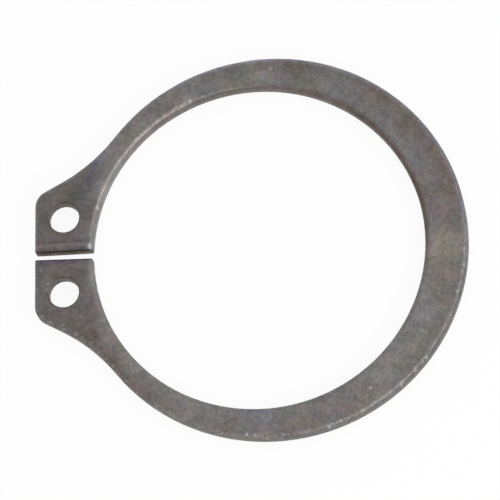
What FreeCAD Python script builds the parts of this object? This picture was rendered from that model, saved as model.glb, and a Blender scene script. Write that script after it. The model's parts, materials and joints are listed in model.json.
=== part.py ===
import FreeCAD, Part
import math
import os
import Sketcher
from FreeCAD import Vector

# External retaining ring for a 25 mm shaft, stamped from spring steel strip.
# The ring lies flat: the origin is the centre of the inner circle, in the bottom face,
# +Z is the ring's axis and the gap between the two lugs opens to -X.
# All lengths are in millimetres and all angles in degrees.

SIZES = (
    # The band: two circles that are not concentric, so it is thickest opposite the gap.
    ("inner_diameter", 23.2),
    ("outer_radius", 13.8),
    ("eccentricity", 0.775),
    ("thickness", 1.2),
    # The lugs: a flat outer face, a straight flank and a large blend into the band.
    ("lug_reach", 15.68),
    ("lug_half_height", 4.35),
    ("flank_angle", 28.3),
    ("blend_radius", 12.2),
    ("lug_corner_radius", 1.2),
    # The gap is a little wider inside than outside, and its upright corners are nearly sharp.
    ("gap_outside", 0.47),
    ("gap_inside", 0.56),
    ("gap_corner_radius", 0.16),
    # One plier hole in each lug.
    ("hole_diameter", 2.15),
    ("hole_reach", 13.63),
    ("hole_pitch", 5.44),
    # Stamped edges: rolled over on top, tumbled round below.
    ("top_roll_radius", 0.35),
    ("bottom_round_radius", 0.25),
    ("hole_edge_radius", 0.12),
)

NODE = "retaining_ring"
TOLERANCE = 1e-5

# How a constraint names an edge's points, the sketch's horizontal axis and its first outside edge
FIRST, LAST, MIDDLE = 1, 2, 3
AXIS = -1
OUTSIDE = -3


def make_sheet(doc):
    """The driving dimensions, one named cell each."""
    sheet = doc.addObject("Spreadsheet::Sheet", "sizes")
    for row, (name, value) in enumerate(SIZES, start=1):
        sheet.set(f"A{row}", name)
        sheet.set(f"B{row}", str(value))
        sheet.setAlias(f"B{row}", name)
    doc.recompute()
    return sheet


def origin_plane(body, role):
    return next(plane for plane in body.Origin.OriginFeatures if plane.Role == role)


def sketch_on_base(body, name):
    """A sketch in the body's XY plane, which is the bottom face of the ring."""
    sketch = body.newObject("Sketcher::SketchObject", name)
    sketch.AttachmentSupport = (origin_plane(body, "XY_Plane"), [""])
    sketch.MapMode = "FlatFace"
    return sketch


def bind(sketch, constraint, expression):
    """Adds a sized constraint and ties it to the sheet."""
    index = sketch.addConstraint(constraint)
    sketch.setExpression(f"Constraints[{index}]", expression)


def half_outline_start(sheet):
    """Where the solver starts: the same tangent construction, worked out directly."""
    reach = -sheet.lug_reach
    angle = math.radians(sheet.flank_angle)
    along = Vector(math.cos(angle), math.sin(angle), 0)
    across = Vector(-along.y, along.x, 0)
    band_centre = Vector(sheet.eccentricity, 0, 0)

    # The blend arc's centre lies blend_radius off the flank and off the outer circle.
    corner = Vector(reach, sheet.lug_half_height, 0)
    offset = corner + across * sheet.blend_radius - band_centre
    reach_sum = sheet.outer_radius + sheet.blend_radius
    half_b = offset.dot(along)
    travel = -half_b - math.sqrt(half_b ** 2 - offset.dot(offset) + reach_sum ** 2)
    blend_centre = corner + along * travel + across * sheet.blend_radius

    trim = sheet.lug_corner_radius * math.tan((math.pi / 2 - angle) / 2)
    return {
        "blend_centre": blend_centre,
        "flank_end": blend_centre - across * sheet.blend_radius,
        "blend_end": band_centre + (blend_centre - band_centre) * (sheet.outer_radius / reach_sum),
        "flank_start": corner + along * trim,
        "face_top": corner - Vector(0, trim, 0),
        "corner_centre": corner + Vector(sheet.lug_corner_radius, -trim, 0),
    }


def angle_of(point, centre):
    return math.atan2(point.y - centre.y, point.x - centre.x) % (2 * math.pi)


def arc_between(centre, radius, start, end):
    circle = Part.Circle(centre, Vector(0, 0, 1), radius)
    return Part.ArcOfCircle(circle, angle_of(start, centre), angle_of(end, centre))


def sketch_half_ring(body, sheet):
    """Half of the ring's outline, on the +Y side of the gap, and its three sides at the gap."""
    sketch = sketch_on_base(body, "half_outline")
    start = half_outline_start(sheet)
    inner_radius = sheet.inner_diameter / 2
    origin = Vector(0, 0, 0)
    band_centre = Vector(sheet.eccentricity, 0, 0)
    far_inside = Vector(inner_radius, 0, 0)
    far_outside = Vector(sheet.eccentricity + sheet.outer_radius, 0, 0)
    half_gap = sheet.gap_inside / 2
    gap_inside = Vector(-math.sqrt(inner_radius ** 2 - half_gap ** 2), half_gap, 0)
    gap_outside = Vector(-sheet.lug_reach, sheet.gap_outside / 2, 0)

    inner_arc = sketch.addGeometry(arc_between(origin, inner_radius, far_inside, gap_inside))
    far_line = sketch.addGeometry(Part.LineSegment(far_inside, far_outside))
    outer_arc = sketch.addGeometry(
        arc_between(band_centre, sheet.outer_radius, far_outside, start["blend_end"]))
    blend_arc = sketch.addGeometry(
        arc_between(start["blend_centre"], sheet.blend_radius, start["flank_end"], start["blend_end"]))
    flank = sketch.addGeometry(Part.LineSegment(start["flank_start"], start["flank_end"]))
    corner_arc = sketch.addGeometry(
        arc_between(start["corner_centre"], sheet.lug_corner_radius, start["flank_start"], start["face_top"]))
    lug_face = sketch.addGeometry(Part.LineSegment(start["face_top"], gap_outside))
    gap_face = sketch.addGeometry(Part.LineSegment(gap_outside, gap_inside))
    sharp_corner = sketch.addGeometry(
        Part.Point(Vector(-sheet.lug_reach, sheet.lug_half_height, 0)), True)

    joints = (
        ("Coincident", inner_arc, FIRST, far_line, FIRST),
        ("Coincident", far_line, LAST, outer_arc, FIRST),
        ("Tangent", outer_arc, LAST, blend_arc, LAST),
        ("Tangent", blend_arc, FIRST, flank, LAST),
        ("Tangent", flank, FIRST, corner_arc, FIRST),
        ("Tangent", corner_arc, LAST, lug_face, FIRST),
        ("Coincident", lug_face, LAST, gap_face, FIRST),
        ("Coincident", gap_face, LAST, inner_arc, LAST),
        ("Coincident", inner_arc, MIDDLE, AXIS, FIRST),
        ("PointOnObject", outer_arc, MIDDLE, AXIS),
        ("PointOnObject", far_line, FIRST, AXIS),
        ("Horizontal", far_line),
        ("Vertical", lug_face),
        ("PointOnObject", sharp_corner, FIRST, flank),
        ("PointOnObject", sharp_corner, FIRST, lug_face),
    )
    for joint in joints:
        sketch.addConstraint(Sketcher.Constraint(*joint))

    bind(sketch, Sketcher.Constraint("Radius", inner_arc, inner_radius), "sizes.inner_diameter / 2")
    bind(sketch, Sketcher.Constraint("Radius", outer_arc, sheet.outer_radius), "sizes.outer_radius")
    bind(sketch, Sketcher.Constraint("DistanceX", AXIS, FIRST, outer_arc, MIDDLE, sheet.eccentricity),
         "sizes.eccentricity")
    bind(sketch, Sketcher.Constraint("Radius", blend_arc, sheet.blend_radius), "sizes.blend_radius")
    bind(sketch, Sketcher.Constraint("Radius", corner_arc, sheet.lug_corner_radius),
         "sizes.lug_corner_radius")
    bind(sketch, Sketcher.Constraint("DistanceX", gap_face, FIRST, AXIS, FIRST, sheet.lug_reach),
         "sizes.lug_reach")
    bind(sketch, Sketcher.Constraint("DistanceY", AXIS, FIRST, sharp_corner, FIRST, sheet.lug_half_height),
         "sizes.lug_half_height")
    bind(sketch, Sketcher.Constraint("Angle", flank, math.radians(sheet.flank_angle)),
         "sizes.flank_angle")
    bind(sketch, Sketcher.Constraint("DistanceY", AXIS, FIRST, gap_face, FIRST, sheet.gap_outside / 2),
         "sizes.gap_outside / 2")
    bind(sketch, Sketcher.Constraint("DistanceY", AXIS, FIRST, gap_face, LAST, sheet.gap_inside / 2),
         "sizes.gap_inside / 2")
    sides_at_gap = [sketch.Geometry[side] for side in (gap_face, lug_face, inner_arc)]
    return sketch, sides_at_gap


def sketch_hole(body, sheet):
    """The plier hole of the lug on the +Y side."""
    sketch = sketch_on_base(body, "plier_hole_outline")
    centre = Vector(-sheet.hole_reach, sheet.hole_pitch / 2, 0)
    circle = sketch.addGeometry(Part.Circle(centre, Vector(0, 0, 1), sheet.hole_diameter / 2))
    bind(sketch, Sketcher.Constraint("DistanceX", circle, MIDDLE, AXIS, FIRST, sheet.hole_reach),
         "sizes.hole_reach")
    bind(sketch, Sketcher.Constraint("DistanceY", AXIS, FIRST, circle, MIDDLE, sheet.hole_pitch / 2),
         "sizes.hole_pitch / 2")
    bind(sketch, Sketcher.Constraint("Diameter", circle, sheet.hole_diameter), "sizes.hole_diameter")
    return sketch


def edge_between(outline, start, end):
    """The name of the outline's edge that joins two points."""
    for number, edge in enumerate(outline.Shape.Edges, start=1):
        tips = [vertex.Point for vertex in edge.Vertexes]
        gaps = [min(point.distanceToPoint(tip) for tip in tips) for point in (start, end)]
        if max(gaps) < TOLERANCE:
            return f"Edge{number}"
    raise RuntimeError(f"{outline.Label} has no edge from {start} to {end}")


def sketch_corner_scraps(body, outline, sides_at_gap, sheet):
    """What rounding takes off the two upright corners at the gap, on the +Y side."""
    sketch = sketch_on_base(body, "gap_corner_scraps")
    radius = sheet.gap_corner_radius
    inner_radius = sheet.inner_diameter / 2
    gap_face = sides_at_gap[0]
    for side in sides_at_gap:
        sketch.addExternal(outline.Name, edge_between(outline, side.StartPoint, side.EndPoint))
    gap_edge, lug_edge, inner_edge = (OUTSIDE - place for place in range(len(sides_at_gap)))

    outer_corner = gap_face.StartPoint
    inner_corner = gap_face.EndPoint
    along = (inner_corner - outer_corner).normalize()
    across = Vector(-along.y, along.x, 0)

    # The outer rounding touches the gap face and the lug's flat outer face.
    rise = radius * (1 + along.y) / along.x
    outer_centre = outer_corner + Vector(radius, rise, 0)
    outer_on_lug = outer_corner + Vector(0, rise, 0)
    outer_on_gap = outer_centre - across * radius

    # The inner rounding touches the gap face and the inner circle.
    height = outer_corner.dot(across) + radius
    inner_centre = across * height - along * math.sqrt((inner_radius + radius) ** 2 - height ** 2)
    inner_on_gap = inner_centre - across * radius
    inner_on_circle = inner_centre * (inner_radius / inner_centre.Length)

    scraps = (
        (outer_corner, outer_centre, outer_on_lug, lug_edge, outer_on_gap, gap_edge),
        (inner_corner, inner_centre, inner_on_gap, gap_edge, inner_on_circle, inner_edge),
    )
    for corner, centre, arc_start, start_edge, arc_end, end_edge in scraps:
        rounding = sketch.addGeometry(arc_between(centre, radius, arc_start, arc_end))
        leaving = sketch.addGeometry(Part.LineSegment(arc_end, corner))
        returning = sketch.addGeometry(Part.LineSegment(corner, arc_start))
        joints = (
            ("Coincident", rounding, LAST, leaving, FIRST),
            ("Coincident", leaving, LAST, returning, FIRST),
            ("Coincident", returning, LAST, rounding, FIRST),
            ("PointOnObject", returning, FIRST, start_edge),
            ("PointOnObject", returning, FIRST, end_edge),
            ("Tangent", rounding, FIRST, start_edge),
            ("Tangent", rounding, LAST, end_edge),
        )
        for joint in joints:
            sketch.addConstraint(Sketcher.Constraint(*joint))
        bind(sketch, Sketcher.Constraint("Radius", rounding, radius), "sizes.gap_corner_radius")
    return sketch


def is_hole_edge(edge, sheet):
    """True for the rim of a plier hole."""
    if not isinstance(edge.Curve, Part.Circle):
        return False
    return abs(edge.Curve.Radius - sheet.hole_diameter / 2) < TOLERANCE


def lies_at(edge, height):
    box = edge.BoundBox
    return abs(box.ZMin - height) < TOLERANCE and abs(box.ZMax - height) < TOLERANCE


def round_edges(body, base, name, wanted, radius_cell):
    """Rounds the wanted edges of the base with a radius from the sheet."""
    names = [f"Edge{number}" for number, edge in enumerate(base.Shape.Edges, start=1) if wanted(edge)]
    if not names:
        raise RuntimeError(f"{name}: no edge to round")
    fillet = body.newObject("PartDesign::Fillet", name)
    fillet.Base = (base, names)
    fillet.setExpression("Radius", f"sizes.{radius_cell}")
    body.Document.recompute()
    return fillet


def round_stamped_edges(body, whole, sheet):
    """The edges as stamping and tumbling leave them."""

    def on_outline(height):
        return lambda edge: lies_at(edge, height) and not is_hole_edge(edge, sheet)

    def on_rim(edge):
        return is_hole_edge(edge, sheet) and (lies_at(edge, 0) or lies_at(edge, sheet.thickness))

    rolled = round_edges(body, whole, "top_roll", on_outline(sheet.thickness), "top_roll_radius")
    tumbled = round_edges(body, rolled, "bottom_round", on_outline(0), "bottom_round_radius")
    return round_edges(body, tumbled, "hole_rims", on_rim, "hole_edge_radius")


def round_gap_corners(body, rounded, outline, sides_at_gap, sheet):
    """Rounds the upright corners at the gap, first on one side of it and then on the other."""
    one_side = body.newObject("PartDesign::Pocket", "gap_corners")
    one_side.Profile = sketch_corner_scraps(body, outline, sides_at_gap, sheet)
    one_side.Type = "ThroughAll"
    one_side.Reversed = True
    body.Document.recompute()

    both_sides = body.newObject("PartDesign::Mirrored", "both_gap_corners")
    both_sides.Originals = [one_side]
    both_sides.MirrorPlane = (origin_plane(body, "XZ_Plane"), [""])
    body.Tip = both_sides
    body.Document.recompute()

    scrap = rounded.Shape.Volume - one_side.Shape.Volume
    both_scraps = rounded.Shape.Volume - both_sides.Shape.Volume
    if scrap <= TOLERANCE or abs(both_scraps - 2 * scrap) > TOLERANCE:
        raise RuntimeError(f"the gap corners lose {scrap:.5f} and {both_scraps:.5f} mm3")


def make_ring(doc, sheet):
    """The ring: one half padded and drilled, mirrored over the gap's middle plane, then rounded."""
    body = doc.addObject("PartDesign::Body", NODE)
    body.Label = NODE
    body.Placement = FreeCAD.Placement()

    outline, sides_at_gap = sketch_half_ring(body, sheet)
    blank = body.newObject("PartDesign::Pad", "half_blank")
    blank.Profile = outline
    blank.setExpression("Length", "sizes.thickness")
    doc.recompute()

    hole = body.newObject("PartDesign::Pocket", "plier_hole")
    hole.Profile = sketch_hole(body, sheet)
    hole.Type = "ThroughAll"
    hole.Reversed = True
    doc.recompute()
    cut = blank.Shape.Volume - hole.Shape.Volume
    expected = math.pi * (sheet.hole_diameter / 2) ** 2 * sheet.thickness
    if abs(cut - expected) > TOLERANCE:
        raise RuntimeError(f"the plier hole takes away {cut:.4f} mm3, not {expected:.4f} mm3")

    whole = body.newObject("PartDesign::Mirrored", "both_halves")
    whole.Originals = [blank, hole]
    whole.MirrorPlane = (origin_plane(body, "XZ_Plane"), [""])
    body.Tip = whole
    doc.recompute()
    if abs(whole.Shape.Volume - 2 * hole.Shape.Volume) > TOLERANCE:
        raise RuntimeError("the mirrored half is missing")

    rounded = round_stamped_edges(body, whole, sheet)
    round_gap_corners(body, rounded, outline, sides_at_gap, sheet)
    return body


def check(doc, body):
    for item in doc.Objects:
        if "Invalid" in item.State or "Error" in item.State:
            raise RuntimeError(f"{item.Name} failed: {item.State}")
    shape = body.Shape
    if shape.isNull() or not shape.isValid() or len(shape.Solids) != 1:
        raise RuntimeError(f"{body.Label} is not one valid solid")


def main():
    doc = FreeCAD.newDocument("retaining_ring")
    sheet = make_sheet(doc)
    body = make_ring(doc, sheet)
    check(doc, body)
    os.makedirs("parts", exist_ok=True)
    body.Shape.exportStep(f"parts/{body.Label}.step")
    box = body.Shape.optimalBoundingBox()
    print(f"{body.Label}: {box.XLength:.3f} x {box.YLength:.3f} x {box.ZLength:.3f} mm, "
          f"{body.Shape.Volume:.2f} mm3, {len(body.Shape.Faces)} faces")


main()
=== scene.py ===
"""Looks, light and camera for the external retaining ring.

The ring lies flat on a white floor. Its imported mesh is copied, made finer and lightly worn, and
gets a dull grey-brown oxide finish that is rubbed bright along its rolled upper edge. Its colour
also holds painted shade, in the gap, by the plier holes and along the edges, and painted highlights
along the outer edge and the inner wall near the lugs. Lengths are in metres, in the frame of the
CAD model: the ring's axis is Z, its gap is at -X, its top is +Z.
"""

import json
import math
import random

import bmesh
import bpy
import numpy as np
from mathutils import Matrix, Vector, noise


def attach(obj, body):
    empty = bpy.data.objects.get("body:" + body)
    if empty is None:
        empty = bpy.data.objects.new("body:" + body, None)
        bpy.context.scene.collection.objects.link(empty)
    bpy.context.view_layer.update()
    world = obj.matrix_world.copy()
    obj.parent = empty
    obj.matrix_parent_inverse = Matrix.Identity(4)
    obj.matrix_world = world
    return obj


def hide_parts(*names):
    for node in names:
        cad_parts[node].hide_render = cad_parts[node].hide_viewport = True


MM = 0.001
NODE = "retaining_ring"
BODY = "root"
WELD_DISTANCE = 1e-7

# Camera: it looks down on the ring, tipped from the vertical about a line in the floor
CAMERA_TIP = math.radians(18.34)
CAMERA_TIP_LINE = math.radians(200.89)
CAMERA_ROLL = math.radians(1.53)
CAMERA_DISTANCE = 348 * MM
CAMERA_LENS = 360.5
SENSOR_WIDTH = 36
# Where the frame's origin shows, right and up from the middle of the picture
ORIGIN_RIGHT = 0.6957 * MM
ORIGIN_UP = -0.0744 * MM

# Lamps: where they stand as seen from the ring, their size and power
KEY_AZIMUTH = math.radians(-35)
KEY_HEIGHT = math.radians(34)
KEY_DISTANCE = 240 * MM
KEY_SIZE = (300 * MM, 80 * MM)
KEY_POWER = 0.276
KEY_COLOUR = (1.0, 0.97, 0.92)
FILL_AZIMUTH = math.radians(110)
FILL_HEIGHT = math.radians(35)
FILL_DISTANCE = 300 * MM
FILL_SIZE = (160 * MM, 160 * MM)
FILL_POWER = 0.05
FILL_COLOUR = (0.7, 0.84, 1.0)
WORLD_LEVEL = 0.75

# Floor
FLOOR_SIZE = 6.0
FLOOR_DROP = 0.01 * MM
FLOOR_COLOUR = (0.93, 0.93, 0.93, 1)
FLOOR_WHITE_SHARE = 0.91

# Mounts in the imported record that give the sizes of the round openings
SEAT = "groove_seat"
PLIER_HOLES = ("plier_hole_left", "plier_hole_right")

# Steel: colours of the oxide and of the metal under it
OXIDE_GREY = (0.170, 0.164, 0.159, 1)
OXIDE_BROWN = (0.185, 0.163, 0.152, 1)
OXIDE_BLUE = (0.162, 0.165, 0.169, 1)
BARE_STEEL = (0.48, 0.48, 0.475, 1)
METALLIC = 0.85
NOISE_ROUGHNESS = 0.7
# Noises in the steel: the length of their waves, their detail and their seed
BROWN_PATCHES = (1.3 * MM, 1.0, 1.0)
BLUE_PATCHES = (1.3 * MM, 2.0, 7.0)
GREEN_WAVES = (1.0 * MM, 3.0, 30.0)
BLUE_WAVES = (1.0 * MM, 3.0, 35.0)
RUBBING = (0.5 * MM, 2.0, 40.0)
SPECKS = (0.12 * MM, 0.0, 50.0)
SHEEN = (0.4 * MM, 2.0, 60.0)
GRAIN = (0.16 * MM, 2.0, 80.0)
# The part of each noise that is spread out softly, and how much it then does
BROWN_RANGE = (0.35, 0.65)
BLUE_RANGE = (0.55, 0.75)
BLUE_SHARE = 0.7
RUB_RANGE = (0.35, 0.7)
RUB_SHARE = 0.10
SPECK_RANGE = (0.6, 0.72)
SPECK_SHARE = 0.38
SHEEN_RANGE = (0.3, 0.7)
SWING_RANGE = (0.2, 0.8)
# Mottling of the tone: the length of each layer's waves and how far it swings
MOTTLE_SEED = 20.0
MOTTLES = (
    (5.0 * MM, 0.04),
    (1.6 * MM, 0.06),
    (0.7 * MM, 0.10),
    (0.3 * MM, 0.12),
    (0.15 * MM, 0.11),
)
GREEN_SWING = 0.075
BLUE_SWING = 0.085
GRAIN_HEIGHT = 0.006 * MM
ROUGHNESS = (0.44, 0.6)
RUBBED_SMOOTHER = 0.04

# Stains and painted light: each tint multiplies the colour of the oxide, and the comments say which
# tints are painted shade or painted highlights
RUST = (0.73, 0.59, 0.51)
HOLE_DARK = (0.98, 0.95, 0.93)
# Painted shade in the gap: the next tint adds a brown tone with painted shade on the upper lug's gap
# wall, the one after darkens that whole gap face, and the third adds a violet tone with painted shade
# along the lower lug's gap edge
GAP_BROWN_AND_SHADE = (0.92, 0.62, 0.44)
GAP_PAINTED_SHADE = (0.87, 0.88, 0.95)
GAP_VIOLET_AND_SHADE = (0.80, 0.72, 0.98)
CREASE_DARK = (0.70, 0.68, 0.66)
STRIP_LIGHT = (1.24, 1.24, 1.26)
LUG_DARK = (0.80, 0.78, 0.79)
# Painted shade on the outer rolled edge where the key lamp shines: darker and cooler, standing for a
# dark reflection beside the highlight
ROLL_PAINTED_SHADE = (0.80, 0.83, 0.89)
# A bluish painted highlight on the outer rolled edge
ROLL_BLUE_HIGHLIGHT = (1.06, 1.09, 1.16)
INNER_LIGHT = (1.05, 1.06, 1.09)
OUTER_DARK = (0.95, 0.94, 0.92)
UPPER_RIM = (0.96, 0.93, 0.925)
# A bluish painted highlight along the outer rim
RIM_BLUE_HIGHLIGHT = (1.15, 1.21, 1.39)
# Painted shade along the inner edge on the side that faces away from the key lamp
INNER_PAINTED_SHADE = (0.81, 0.82, 0.83)
RIM_COOL = (0.96, 1.00, 1.15)
# A painted highlight along the outer rim
RIM_PALE_HIGHLIGHT = (1.14, 1.14, 1.14)
LOWER_ARM_OUTER = (0.94, 0.885, 0.895)
LOWER_ARM_INNER = (1.06, 1.07, 1.06)
WALL_DARK = (0.86, 0.84, 0.82)
OLIVE = (0.97, 0.99, 0.90)
BROWN = (0.98, 0.92, 0.88)
ROSE = (1.01, 0.955, 0.965)
PINK = (1.12, 0.98, 1.00)
SAND = (1.12, 1.10, 1.00)
COOL = (0.95, 1.00, 1.07)
PALE = (1.15, 1.16, 1.16)
DUSK = (0.86, 0.85, 0.86)
MIST = (1.06, 1.09, 1.08)
MOSS = (0.90, 0.94, 0.92)
PLUM = (0.90, 0.86, 0.90)
ICE = (1.14, 1.16, 1.24)
CREAM = (1.13, 1.09, 1.08)
# Each mark's centre and radius in millimetres, and its tint. Some centres come from pixels of the
# photo that another script turned into millimetres, and the tints were tuned to the photo
STAINS_AND_HOLE_SHADE = (
    ((11.9, 4.2), 4.2, DUSK),
    ((8.6, 10.4), 3.8, DUSK),
    ((11.3, 8.4), 2.6, DUSK),
    ((2.8, 13.2), 3.0, DUSK),
    ((11.9, -4.5), 4.5, PALE),
    ((13.6, -1.2), 3.0, PALE),
    ((8.9, -10.3), 4.4, PALE),
    ((-4.7, -10.6), 5.0, PALE),
    ((0.7, 11.2), 3.0, PALE),
    ((-1.2, 12.9), 1.9, MOSS),
    ((-10.9, 4.4), 2.2, PALE),
    ((-11.9, -1.5), 2.0, PALE),
    ((-12.1, 1.6), 1.8, ICE),
    ((-10.5, -7.9), 2.0, DUSK),
    ((3.2, 12.4), 1.8, OLIVE),
    ((9.0, 10.6), 2.0, BROWN),
    ((10.6, 8.6), 2.0, BROWN),
    ((12.4, 5.6), 1.9, BROWN),
    ((12.9, 3.7), 1.6, BROWN),
    ((12.6, 1.9), 1.5, PINK),
    ((13.2, -0.6), 2.2, SAND),
    ((12.8, -2.3), 1.6, BROWN),
    ((5.2, 10.9), 1.8, COOL),
    ((2.0, 11.6), 1.6, COOL),
    ((-4.2, 11.0), 1.8, COOL),
    ((0.0, -12.0), 2.8, COOL),
    ((-7.0, 9.6), 2.4, ROSE),
    ((4.9, -11.4), 2.4, ROSE),
    ((9.0, 8.8), 1.5, COOL),
    ((11.1, 5.7), 1.4, COOL),
    ((11.0, -6.7), 2.6, MIST),
    ((7.4, -9.8), 2.0, MOSS),
    ((-8.0, -10.2), 1.8, PLUM),
    ((-10.4, -8.2), 1.8, BROWN),
    ((-8.4, -7.8), 1.6, PALE),
    ((-11.4, -5.4), 2.8, ROSE),
    ((-13.7, 4.6), 1.6, OLIVE),
    ((-9.3, 8.2), 2.6, CREAM),
    # The next two are painted shade around the plier holes
    ((-12.7, 4.1), 1.1, DUSK),
    ((-12.4, -1.6), 0.9, DUSK),
    ((-12.9, 1.5), 1.0, COOL),
    ((-14.9, -2.8), 1.1, PALE),
)

# The finer copy of the ring and its wear
GRAIN_SIZE = 0.09 * MM
WEAR_SEED = 11
ROLL_WEAR = 0.03 * MM
ROLL_WEAR_LENGTH = 1.6 * MM
ROLL_WEAR_SHIFT = 3.0
EDGE_NICKS = 60
NICK_RADIUS = (0.06 * MM, 0.18 * MM)
NICK_DEPTH = (0.01 * MM, 0.04 * MM)
NICK_BARE = (0.2, 0.7)
NICKS_FROM_SEAT = 1 * MM
NICKS_ABOVE = 0.75
FACE_DENTS = 60
DENT_RADIUS = (0.12 * MM, 0.3 * MM)
DENT_DEPTH = (0.008 * MM, 0.025 * MM)
# Dark pits: how many lie between two azimuths, in degrees, and how far out from the seat
PITS = ((100, 285, 360), (50, 0, 270))
PIT_FROM_SEAT = 1.0 * MM
PIT_RADIUS = (0.09 * MM, 0.14 * MM)
PIT_DEPTH = 0.02 * MM
PIT_DARK = (0.72, 0.70, 0.70)
# A bevel that use has worn along the inner edge near the lugs
BEVEL_DEPTH = 0.035 * MM
BEVEL_WIDTH = 0.42 * MM
BEVEL_BARE = 0.22
# Small bright knocks: where they are in millimetres, their radius and how bare they are. The places
# come from pixels of the photo that another script turned into millimetres
KNOCKS = (
    ((-11.74, 0.55), 0.16, 1.0),
    ((-11.21, 3.31), 0.12, 1.0),
    ((-11.42, -2.48), 0.10, 0.2),
    ((-15.50, 2.51), 0.10, 0.2),
    ((-13.66, -5.16), 0.06, 0.4),
    ((-13.33, -5.40), 0.06, 0.3),
    ((-12.76, -5.76), 0.08, 0.35),
    ((-12.31, -6.06), 0.07, 0.3),
    ((-15.11, -4.44), 0.08, 0.5),
    ((-11.66, -6.46), 0.07, 0.35),
    ((-14.72, -2.10), 0.10, 0.3),
    ((-14.80, -2.50), 0.10, 0.25),
    ((-15.22, -1.03), 0.10, 0.25),
    ((0.98, 12.97), 0.09, 0.4),
    ((-4.68, 10.87), 0.10, 0.45),
    ((11.60, -8.50), 0.10, 0.8),
    ((10.80, -9.40), 0.10, 0.55),
    ((9.80, -10.35), 0.10, 0.6),
    ((7.68, -10.50), 0.08, 0.75),
    ((4.82, -13.15), 0.10, 0.95),
    ((13.15, -6.50), 0.09, 0.5),
    ((14.28, -1.98), 0.09, 0.6),
    ((13.75, -3.88), 0.09, 0.4),
    ((-0.89, -13.47), 0.09, 0.9),
)
KNOCK_DEPTH = 0.02 * MM
# A knock has faded out at this many radii
KNOCK_SPREAD = 2
# A crease along the gap edge of the +Y lug, placed in the same way as the knocks
CREASE_FROM = Vector((-15.1, 0.88, 1.2)) * MM
CREASE_TO = Vector((-11.9, 0.95, 1.2)) * MM
CREASE_HALF_WIDTH = 0.13 * MM
CREASE_DEPTH = 0.03 * MM
CREASE_END = 0.15
CREASE_END_DEPTH = 0.3

# Sectors, in degrees from +X towards +Y: what lies there rises between the first two and falls
# between the last two
NEAR_LUGS = (100, 135, 182, 210)
# Where the bare share of the worn bevel runs down to the bottom of the inner wall; below the bevel it
# is a painted highlight on the wall that faces the key lamp
BARE_AND_HIGHLIGHT_DOWN_THE_WALL = (120, 150, 185, 225)
# Where the outer roll is less rubbed and also carries painted shade
DULL_SHADED_ROLL = (-75, -50, -25, 10)
EVEN_ROLL = (-14, -3, 70, 95)
# Where the outer roll gets its bluish painted highlight
BLUE_HIGHLIGHT_ROLL = (-12, 4, 95, 125)
UPPER_RIGHT = (0, 20, 95, 115)
# Where the outer rim gets its bluish and its pale painted highlights
BLUE_HIGHLIGHT_RIM = (-12, 8, 95, 125)
PALE_HIGHLIGHT_RIM = (20, 45, 85, 115)
COOL_RIM = (95, 120, 155, 170)
LOWER_ARM = (195, 210, 235, 255)
DARK_WALL = (80, 100, 135, 150)
# Where the inner edge gets its painted shade
SHADED_INSIDE = (-150, -100, 5, 25)
RUSTY_WALL = (-25, 15, 30, 165)
# How much less the dull and the even stretch of the roll are rubbed
DULL_LOSS = 0.35
EVEN_LOSS = 0.7

# Parts of the surface by how far up its normal points
FLAT_SLOPE = (0.97, 0.995)
FLAT_ENOUGH = 0.9
ROLL_SLOPE = (0.05, 0.3, 0.9, 0.99)
ROLL_ENOUGH = 0.5
# By the distance out from the seat
INNER_WALL = (0.1 * MM, 0.3 * MM)
INNER_EDGE = (0.1 * MM, 0.5 * MM)
INNER_STRIP = (0.1 * MM, 0.55 * MM)
OUTER_PART = (0.5 * MM, 1 * MM)
# By the share of the way from the seat to the outer circle
INNER_HALF = (0, 0.6)
OUTER_HALF = (0.4, 1)
ARM_INNER_PART = (0.3, 0.6)
ARM_OUTER_PART = (0.45, 0.85)
# By the distance inside the outer circle, and by the height
RIM_STRIP = (-0.4 * MM, -0.1 * MM, 0.15 * MM, 0.5 * MM)
HIGH_ON_WALL = (0.7 * MM, 0.85 * MM, 0.98 * MM, 1.1 * MM)
# By the distance from the plier holes
HOLE_MARGIN = (0.3 * MM, 0.5 * MM)
HOLE_EDGE = (0.02 * MM, 0.12 * MM)
HOLE_RUST_REACH = 0.35 * MM
HOLE_RUST_SHARE = 0.22
# The lugs along X, the faces in the gap and the strips beside it along Y
LUGS = (-11.8 * MM, -10.6 * MM)
GAP_REACH = 0.65 * MM
GAP_SLOPE = (0.15, 0.45)
GAP_WALL_SLOPE = (0.8, 0.98)
# Along Y, the strip where the lower lug's gap edge gets its violet tone and painted shade
VIOLET_SHADE_STRIP = (-0.8 * MM, -0.6 * MM, -0.2 * MM, 0)
LIGHT_STRIP = (0.54 * MM, 0.63 * MM, 0.77 * MM, 0.87 * MM)
LIGHT_STRIP_END = -11 * MM


def set_camera():
    """Puts the camera where the photograph was taken from."""
    tip_line = Vector((math.cos(CAMERA_TIP_LINE), math.sin(CAMERA_TIP_LINE), 0))
    world_to_camera = Matrix.Rotation(CAMERA_ROLL, 3, "Z") @ Matrix.Rotation(CAMERA_TIP, 3, tip_line)
    camera_to_world = world_to_camera.transposed()
    data = bpy.data.cameras.new("camera")
    data.sensor_width = SENSOR_WIDTH
    data.lens = CAMERA_LENS
    data.clip_start = CAMERA_DISTANCE / 10
    data.clip_end = FLOOR_SIZE * 2
    camera = bpy.data.objects.new("camera", data)
    place = camera_to_world @ Vector((-ORIGIN_RIGHT, -ORIGIN_UP, CAMERA_DISTANCE))
    camera.matrix_world = Matrix.Translation(place) @ camera_to_world.to_4x4()
    bpy.context.scene.collection.objects.link(camera)
    bpy.context.scene.camera = camera


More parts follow.
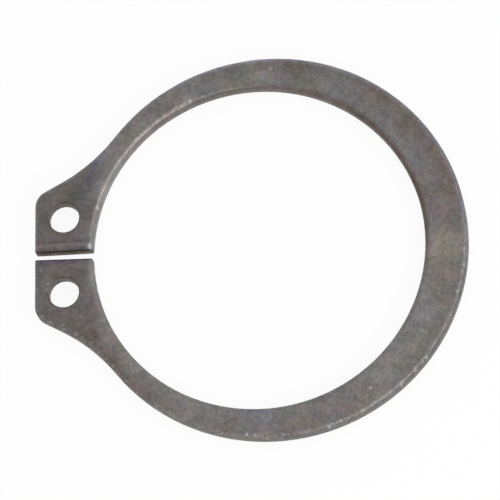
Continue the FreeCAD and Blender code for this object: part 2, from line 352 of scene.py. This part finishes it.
def add_lamp(name, azimuth, height, distance, size, power, colour):
    """A lamp, so wide and high, that faces the ring from that azimuth and height."""
    data = bpy.data.lights.new(name, "AREA")
    data.shape = "RECTANGLE"
    data.size, data.size_y = size
    data.energy = power
    data.color = colour
    lamp = bpy.data.objects.new(name, data)
    towards = Vector(
        (
            math.cos(azimuth) * math.cos(height),
            math.sin(azimuth) * math.cos(height),
            math.sin(height),
        )
    )
    lamp.location = towards * distance
    lamp.rotation_mode = "QUATERNION"
    lamp.rotation_quaternion = towards.to_track_quat("Z", "Y")
    bpy.context.scene.collection.objects.link(lamp)


def seen_directly(nodes, links):
    """A node output that is 1 for what the camera, a mirror or glass sees, and 0 for soft light."""
    path = nodes.new("ShaderNodeLightPath")
    mirrored = nodes.new("ShaderNodeMath")
    mirrored.operation = "MAXIMUM"
    links.new(path.outputs["Is Glossy Ray"], mirrored.inputs[0])
    links.new(path.outputs["Is Transmission Ray"], mirrored.inputs[1])
    seen = nodes.new("ShaderNodeMath")
    seen.operation = "MAXIMUM"
    links.new(path.outputs["Is Camera Ray"], seen.inputs[0])
    links.new(mirrored.outputs[0], seen.inputs[1])
    return seen.outputs[0]


def set_world():
    """An even white room, a little dimmer as soft light than as it is seen."""
    world = bpy.data.worlds.new("white_room")
    world.use_nodes = True
    bpy.context.scene.world = world
    nodes = world.node_tree.nodes
    links = world.node_tree.links
    background = nodes["Background"]
    background.inputs["Color"].default_value = (1, 1, 1, 1)
    level = nodes.new("ShaderNodeMapRange")
    level.inputs["To Min"].default_value = WORLD_LEVEL
    level.inputs["To Max"].default_value = 1.0
    links.new(seen_directly(nodes, links), level.inputs["Value"])
    links.new(level.outputs["Result"], background.inputs["Strength"])


def make_floor():
    """A white floor, a hair under the ring, that keeps a faint shadow."""
    material = bpy.data.materials.new("white_floor")
    material.use_nodes = True
    nodes = material.node_tree.nodes
    links = material.node_tree.links
    nodes.clear()
    paper = nodes.new("ShaderNodeBsdfDiffuse")
    paper.inputs["Color"].default_value = FLOOR_COLOUR
    white = nodes.new("ShaderNodeEmission")
    white.inputs["Color"].default_value = (1, 1, 1, 1)
    white.inputs["Strength"].default_value = 1.0
    share = nodes.new("ShaderNodeMath")
    share.operation = "MULTIPLY"
    share.inputs[1].default_value = FLOOR_WHITE_SHARE
    links.new(seen_directly(nodes, links), share.inputs[0])
    mix = nodes.new("ShaderNodeMixShader")
    links.new(share.outputs[0], mix.inputs["Fac"])
    links.new(paper.outputs[0], mix.inputs[1])
    links.new(white.outputs[0], mix.inputs[2])
    output = nodes.new("ShaderNodeOutputMaterial")
    links.new(mix.outputs[0], output.inputs["Surface"])

    bpy.ops.mesh.primitive_plane_add(size=FLOOR_SIZE, location=(0, 0, -FLOOR_DROP))
    floor = bpy.context.object
    floor.name = "floor"
    floor.data.materials.append(material)


def finer_copy(node):
    """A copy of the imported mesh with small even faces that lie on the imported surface."""
    mesh = node.data.copy()
    joined = bmesh.new()
    joined.from_mesh(mesh)
    bmesh.ops.remove_doubles(joined, verts=joined.verts, dist=WELD_DISTANCE)
    joined.to_mesh(mesh)
    joined.free()
    ring = bpy.data.objects.new("worn_ring", mesh)
    bpy.context.scene.collection.objects.link(ring)
    even = ring.modifiers.new("even_faces", "REMESH")
    even.mode = "VOXEL"
    even.voxel_size = GRAIN_SIZE
    fitted = ring.modifiers.new("on_the_packed_surface", "SHRINKWRAP")
    fitted.target = node
    fitted.wrap_method = "NEAREST_SURFACEPOINT"
    finer = bpy.data.meshes.new_from_object(ring.evaluated_get(bpy.context.evaluated_depsgraph_get()))
    ring.modifiers.clear()
    ring.data = finer
    finer.name = "worn_ring"
    finer.shade_smooth()
    return ring


def rows_of_three(items, name):
    """The places or the normals of a mesh's vertices, one row each."""
    values = np.empty(len(items) * 3, np.float32)
    items.foreach_get(name, values)
    return values.reshape(-1, 3).astype(float)


def smooth_step(low, high, value):
    """0 below low, 1 above high and a soft curve between."""
    share = np.clip((value - low) / (high - low), 0, 1)
    return share * share * (3 - 2 * share)


def slow_noise(places, length, shift):
    """Noise from 0 to 1 whose waves are about that long."""
    offset = Vector((shift, shift, shift))
    return np.array([0.5 + 0.5 * noise.noise(Vector(p) / length + offset) for p in places])


def dip(places, centre, radius):
    """A round hollow: 1 at its centre and 0 from its rim outwards."""
    distance = np.linalg.norm(places - np.array(centre), axis=1)
    return 1 - smooth_step(0, radius, distance)


def crease(places):
    """The line of the crease: 1 along its bottom and 0 beside it."""
    start = np.array(CREASE_FROM)
    along = np.array(CREASE_TO) - start
    share = np.clip((places - start) @ along / (along @ along), 0, 1)
    distance = np.linalg.norm(places - start - share[:, None] * along, axis=1)
    middle = between(share, 0, CREASE_END, 1 - CREASE_END, 1)
    full = CREASE_END_DEPTH + (1 - CREASE_END_DEPTH) * middle
    return (1 - smooth_step(0, CREASE_HALF_WIDTH, distance)) * full


def outside(places, record, name):
    """How far the places lie outside the circle of that mount, seen along its axis."""
    mount = next(mount for mount in record["mounts"] if mount["name"] == name)
    away = np.linalg.norm(places[:, :2] - np.array(mount["pos_m"][:2]), axis=1)
    return away - mount["dims"]["r_mm"] * MM


def between(value, rise_from, rise_to, fall_from, fall_to):
    """0, then 1 between the rise and the fall, then 0 again."""
    return smooth_step(rise_from, rise_to, value) * (1 - smooth_step(fall_from, fall_to, value))


def in_sector(side, sector):
    """1 inside that sector of azimuths, with soft ends, and 0 elsewhere."""
    start = sector[0]
    return between((side - start) % 360 + start, *sector)


def wear(ring, record):
    """Takes the ring's surface down a little where the real one is rubbed, nicked and dented."""
    mesh = ring.data
    places = rows_of_three(mesh.vertices, "co")
    normals = rows_of_three(mesh.vertex_normals, "vector")
    top = places[:, 2].max()
    chance = random.Random(WEAR_SEED)

    from_seat = outside(places, record, SEAT)
    from_hole = np.minimum(*(outside(places, record, name) for name in PLIER_HOLES))
    side = np.degrees(np.arctan2(places[:, 1], places[:, 0])) % 360
    off_the_gap = 1 - gap_face(places, normals)
    on_top = smooth_step(*FLAT_SLOPE, normals[:, 2])
    on_roll = between(normals[:, 2], *ROLL_SLOPE) * (smooth_step(*HOLE_MARGIN, from_hole) * off_the_gap)

    depth = ROLL_WEAR * on_roll * slow_noise(places, ROLL_WEAR_LENGTH, ROLL_WEAR_SHIFT)
    high = smooth_step(top / 2, top, places[:, 2])
    bevel = in_sector(side, NEAR_LUGS) * (1 - smooth_step(0, BEVEL_WIDTH, from_seat)) * off_the_gap
    depth += BEVEL_DEPTH * bevel * high
    # The bare metal of the worn bevel; over one sector it goes down to the bottom of the inner wall,
    # where it is a painted highlight on the wall that faces the key lamp
    bare = BEVEL_BARE * bevel * np.maximum(high, in_sector(side, BARE_AND_HIGHLIGHT_DOWN_THE_WALL))

    upper_outside = (places[:, 2] > top * NICKS_ABOVE) & (from_seat > NICKS_FROM_SEAT)
    edge = np.flatnonzero((on_roll > ROLL_ENOUGH) & upper_outside)
    for _ in range(EDGE_NICKS):
        hollow = dip(places, places[chance.choice(edge)], chance.uniform(*NICK_RADIUS))
        depth += chance.uniform(*NICK_DEPTH) * hollow
        bare = np.maximum(bare, hollow * chance.uniform(*NICK_BARE))
    for (x, y), radius, bareness in KNOCKS:
        hollow = dip(places[:, :2], (x * MM, y * MM), radius * KNOCK_SPREAD * MM) * high
        depth += KNOCK_DEPTH * hollow
        bare = np.maximum(bare, bareness * hollow)
    flat = np.flatnonzero(on_top > FLAT_ENOUGH)
    for _ in range(FACE_DENTS):
        hollow = dip(places, places[chance.choice(flat)], chance.uniform(*DENT_RADIUS))
        depth += chance.uniform(*DENT_DEPTH) * hollow
    depth += CREASE_DEPTH * crease(places)
    pits = np.zeros(len(places))
    for count, side_from, side_to in PITS:
        pitted_side = (side > side_from) & (side < side_to) & (from_seat > PIT_FROM_SEAT)
        pitted = np.flatnonzero(pitted_side & (on_top > FLAT_ENOUGH))
        for _ in range(count):
            hollow = dip(places, places[chance.choice(pitted)], chance.uniform(*PIT_RADIUS))
            pits = np.maximum(pits, hollow)
    depth += PIT_DEPTH * pits

    keep(mesh, "bare", bare)
    dull = in_sector(side, DULL_SHADED_ROLL)
    even = in_sector(side, EVEN_ROLL)
    rolled = on_roll * (1 - inner_rust(from_seat, side))
    rolled *= (1 - DULL_LOSS * dull) * (1 - EVEN_LOSS * even)
    keep(mesh, "rolled", rolled)
    tint = stains_and_painted_light(places, normals, from_seat, from_hole, side)
    stain_or_paint_light(tint, pits, PIT_DARK)
    outer_roll = on_roll * smooth_step(*OUTER_PART, from_seat)
    # Painted shade on the outer roll where the key lamp shines, standing for a dark reflection
    stain_or_paint_light(tint, outer_roll * dull, ROLL_PAINTED_SHADE)
    # A bluish painted highlight on the outer roll
    stain_or_paint_light(tint, outer_roll * in_sector(side, BLUE_HIGHLIGHT_ROLL), ROLL_BLUE_HIGHLIGHT)
    keep_colour(mesh, "tint", tint)
    places -= normals * depth[:, None]
    mesh.vertices.foreach_set("co", places.astype(np.float32).ravel())


def gap_face(places, normals):
    """1 on the two faces in the ring's gap and on the rolled edges above them."""
    by_the_gap = (places[:, 0] < 0) * (np.abs(places[:, 1]) < GAP_REACH)
    return by_the_gap * smooth_step(*GAP_SLOPE, -normals[:, 1] * np.sign(places[:, 1]))


def inner_rust(from_seat, side):
    """The rust film on the wall inside the ring, which is thickest on the +X +Y side."""
    return in_sector(side, RUSTY_WALL) * (1 - smooth_step(*INNER_EDGE, from_seat))


def stain_or_paint_light(tint, share, colour):
    """Multiplies the tints by the colour where the share is 1, and less where it is less."""
    tint *= 1 + share[:, None] * (np.array(colour) - 1)


def stains_and_painted_light(places, normals, from_seat, from_hole, side):
    """Each place's tint: stained spots, rust in the openings, marks by the gap, painted shade and
    highlights.
    """
    tint = np.ones((len(places), 3))
    on_lugs = 1 - smooth_step(*LUGS, places[:, 0])
    stain_or_paint_light(tint, on_lugs, LUG_DARK)
    outer_radius = places[:, 1].max()
    outer_centre = (places[:, 0].max() - outer_radius, 0)
    to_rim = outer_radius - np.linalg.norm(places[:, :2] - outer_centre, axis=1)
    across = np.clip(from_seat / np.maximum(from_seat + to_rim, WELD_DISTANCE), 0, 1)
    outer_half = smooth_step(*OUTER_HALF, across)
    stain_or_paint_light(tint, 1 - smooth_step(*INNER_HALF, across), INNER_LIGHT)
    stain_or_paint_light(tint, outer_half, OUTER_DARK)
    stain_or_paint_light(tint, outer_half * in_sector(side, UPPER_RIGHT), UPPER_RIM)
    rim_strip = between(to_rim, *RIM_STRIP)
    # Painted highlights along the outer rim, one bluish and one pale; the third tint only makes the rim
    # bluer
    stain_or_paint_light(tint, rim_strip * in_sector(side, BLUE_HIGHLIGHT_RIM), RIM_BLUE_HIGHLIGHT)
    stain_or_paint_light(tint, rim_strip * in_sector(side, PALE_HIGHLIGHT_RIM), RIM_PALE_HIGHLIGHT)
    stain_or_paint_light(tint, rim_strip * in_sector(side, COOL_RIM), RIM_COOL)
    lower_arm = in_sector(side, LOWER_ARM)
    stain_or_paint_light(tint, smooth_step(*ARM_OUTER_PART, across) * lower_arm, LOWER_ARM_OUTER)
    stain_or_paint_light(tint, (1 - smooth_step(*ARM_INNER_PART, across)) * lower_arm, LOWER_ARM_INNER)
    on_wall = between(places[:, 2], *HIGH_ON_WALL) * (1 - smooth_step(*INNER_WALL, from_seat))
    stain_or_paint_light(tint, on_wall * in_sector(side, DARK_WALL), WALL_DARK)
    # Painted shade along the inner edge, on the side that faces away from the key lamp
    inner_strip = 1 - smooth_step(*INNER_STRIP, from_seat)
    stain_or_paint_light(tint, inner_strip * in_sector(side, SHADED_INSIDE), INNER_PAINTED_SHADE)
    for (x, y), radius, colour in STAINS_AND_HOLE_SHADE:
        stain_or_paint_light(tint, dip(places[:, :2], (x * MM, y * MM), radius * MM), colour)
    stain_or_paint_light(tint, inner_rust(from_seat, side), RUST)
    stain_or_paint_light(tint, HOLE_RUST_SHARE * (1 - smooth_step(0, HOLE_RUST_REACH, from_hole)), RUST)
    stain_or_paint_light(tint, 1 - smooth_step(*HOLE_EDGE, from_hole), HOLE_DARK)
    # Painted shade in the gap: the upper lug's gap face darker, its wall brown and darker, and the
    # lower lug's gap edge violet and darker
    upper_gap_face_shade = gap_face(places, normals) * (places[:, 1] > 0)
    stain_or_paint_light(tint, upper_gap_face_shade, GAP_PAINTED_SHADE)
    stain_or_paint_light(tint, upper_gap_face_shade * smooth_step(*GAP_WALL_SLOPE, -normals[:, 1]), GAP_BROWN_AND_SHADE)
    stain_or_paint_light(tint, between(places[:, 1], *VIOLET_SHADE_STRIP) * on_lugs, GAP_VIOLET_AND_SHADE)
    stain_or_paint_light(tint, crease(places), CREASE_DARK)
    stain_or_paint_light(tint, (places[:, 0] < LIGHT_STRIP_END) * between(places[:, 1], *LIGHT_STRIP), STRIP_LIGHT)
    return tint


def keep(mesh, name, values):
    """Stores one value for each vertex, for the material to read."""
    layer = mesh.attributes.new(name, "FLOAT", "POINT")
    layer.data.foreach_set("value", values.astype(np.float32))


def keep_colour(mesh, name, colours):
    """Stores one colour for each vertex, for the material to read."""
    layer = mesh.attributes.new(name, "FLOAT_COLOR", "POINT")
    opaque = np.ones((len(colours), 1))
    layer.data.foreach_set("color", np.hstack((colours, opaque)).astype(np.float32).ravel())


class Paint:
    """One material's nodes: each call adds a node and gives its output."""

    def __init__(self, name):
        self.material = bpy.data.materials.new(name)
        self.material.use_nodes = True
        self.nodes = self.material.node_tree.nodes
        self.links = self.material.node_tree.links
        self.shader = self.nodes["Principled BSDF"]
        self.places = self.nodes.new("ShaderNodeTexCoord").outputs["Object"]

    def feed(self, socket, value):
        """Links an output to a socket, or sets the socket to a number or colour."""
        if isinstance(value, bpy.types.NodeSocket):
            self.links.new(value, socket)
        else:
            socket.default_value = value

    def kept(self, name, output="Fac"):
        """A value or a colour that is stored at the mesh's vertices."""
        node = self.nodes.new("ShaderNodeAttribute")
        node.attribute_name = name
        return node.outputs[output]

    def mottle(self, length, detail=0.0, seed=0.0):
        """Noise from 0 to 1 with waves of about that length."""
        node = self.nodes.new("ShaderNodeTexNoise")
        node.noise_dimensions = "4D"
        node.inputs["W"].default_value = seed
        node.inputs["Scale"].default_value = 1 / length
        node.inputs["Detail"].default_value = detail
        node.inputs["Roughness"].default_value = NOISE_ROUGHNESS
        self.links.new(self.places, node.inputs["Vector"])
        return node.outputs["Fac"]

    def ramp(self, value, low, high, out_low=0.0, out_high=1.0):
        """The value's range from low to high, softly spread over the other range."""
        node = self.nodes.new("ShaderNodeMapRange")
        node.interpolation_type = "SMOOTHSTEP"
        self.links.new(value, node.inputs["Value"])
        node.inputs["From Min"].default_value = low
        node.inputs["From Max"].default_value = high
        node.inputs["To Min"].default_value = out_low
        node.inputs["To Max"].default_value = out_high
        return node.outputs["Result"]

    def swing(self, value, swing):
        """A factor that goes up and down from 1 by that much as the value does."""
        return self.ramp(value, *SWING_RANGE, 1 - swing, 1 + swing)

    def sum_up(self, operation, first, second):
        """One step of arithmetic on two outputs or numbers."""
        node = self.nodes.new("ShaderNodeMath")
        node.operation = operation
        self.feed(node.inputs[0], first)
        self.feed(node.inputs[1], second)
        return node.outputs[0]

    def blend(self, share, first, second, way="MIX"):
        """The first colour, changed towards the second by that share."""
        node = self.nodes.new("ShaderNodeMix")
        node.data_type = "RGBA"
        node.blend_type = way
        self.feed(node.inputs["Factor"], share)
        self.feed(node.inputs["A"], first)
        self.feed(node.inputs["B"], second)
        return node.outputs["Result"]

    def shade(self, colour, red, green, blue):
        """The colour with each of its channels times a factor."""
        factors = self.nodes.new("ShaderNodeCombineColor")
        for channel, factor in (("Red", red), ("Green", green), ("Blue", blue)):
            self.feed(factors.inputs[channel], factor)
        return self.blend(1.0, colour, factors.outputs[0], "MULTIPLY")


def steel():
    """Dull grey-brown oxide: mottled; its kept tints hold staining, painted shade and highlights; bare
    where rubbed.
    """
    paint = Paint("oxide_steel")
    browner = paint.ramp(paint.mottle(*BROWN_PATCHES), *BROWN_RANGE)
    colour = paint.blend(browner, OXIDE_GREY, OXIDE_BROWN)
    bluer = paint.ramp(paint.mottle(*BLUE_PATCHES), *BLUE_RANGE, 0, BLUE_SHARE)
    colour = paint.blend(bluer, colour, OXIDE_BLUE)
    for number, (length, swing) in enumerate(MOTTLES):
        factor = paint.swing(paint.mottle(length, 0.0, MOTTLE_SEED + number), swing)
        colour = paint.shade(colour, factor, factor, factor)
    green = paint.swing(paint.mottle(*GREEN_WAVES), GREEN_SWING)
    blue = paint.swing(paint.mottle(*BLUE_WAVES), BLUE_SWING)
    colour = paint.shade(colour, 1.0, green, blue)
    colour = paint.blend(1.0, colour, paint.kept("tint", "Color"), "MULTIPLY")
    rubbed = paint.ramp(paint.mottle(*RUBBING), *RUB_RANGE)
    rubbed = paint.sum_up("MULTIPLY", rubbed, paint.kept("rolled"))
    bare = paint.sum_up("MAXIMUM", paint.kept("bare"), paint.sum_up("MULTIPLY", rubbed, RUB_SHARE))
    specks = paint.ramp(paint.mottle(*SPECKS), *SPECK_RANGE, 0, SPECK_SHARE)
    bare = paint.sum_up("MAXIMUM", bare, paint.sum_up("MULTIPLY", specks, paint.kept("rolled")))
    colour = paint.blend(bare, colour, BARE_STEEL)
    paint.links.new(colour, paint.shader.inputs["Base Color"])

    smoother = paint.sum_up("MULTIPLY", paint.kept("rolled"), RUBBED_SMOOTHER)
    roughness = paint.ramp(paint.mottle(*SHEEN), *SHEEN_RANGE, *ROUGHNESS)
    roughness = paint.sum_up("SUBTRACT", roughness, smoother)
    paint.links.new(roughness, paint.shader.inputs["Roughness"])
    paint.shader.inputs["Metallic"].default_value = METALLIC

    height = paint.mottle(*GRAIN)
    bump = paint.nodes.new("ShaderNodeBump")
    bump.inputs["Strength"].default_value = 1.0
    bump.inputs["Distance"].default_value = GRAIN_HEIGHT
    paint.links.new(height, bump.inputs["Height"])
    paint.links.new(bump.outputs["Normal"], paint.shader.inputs["Normal"])
    return paint.material


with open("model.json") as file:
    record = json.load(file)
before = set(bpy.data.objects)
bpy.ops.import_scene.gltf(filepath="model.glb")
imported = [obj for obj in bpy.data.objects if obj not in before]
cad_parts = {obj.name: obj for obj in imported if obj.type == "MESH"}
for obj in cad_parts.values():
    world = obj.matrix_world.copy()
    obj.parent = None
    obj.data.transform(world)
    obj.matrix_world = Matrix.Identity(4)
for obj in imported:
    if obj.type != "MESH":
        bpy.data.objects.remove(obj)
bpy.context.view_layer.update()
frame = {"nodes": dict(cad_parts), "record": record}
set_camera()
add_lamp("key", KEY_AZIMUTH, KEY_HEIGHT, KEY_DISTANCE, KEY_SIZE, KEY_POWER, KEY_COLOUR)
add_lamp("fill", FILL_AZIMUTH, FILL_HEIGHT, FILL_DISTANCE, FILL_SIZE, FILL_POWER, FILL_COLOUR)
set_world()
make_floor()
ring = finer_copy(frame["nodes"][NODE])
wear(ring, frame["record"])
ring.data.materials.clear()
ring.data.materials.append(steel())
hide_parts(NODE)
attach(ring, BODY)
bpy.context.scene.view_settings.view_transform = "Standard"
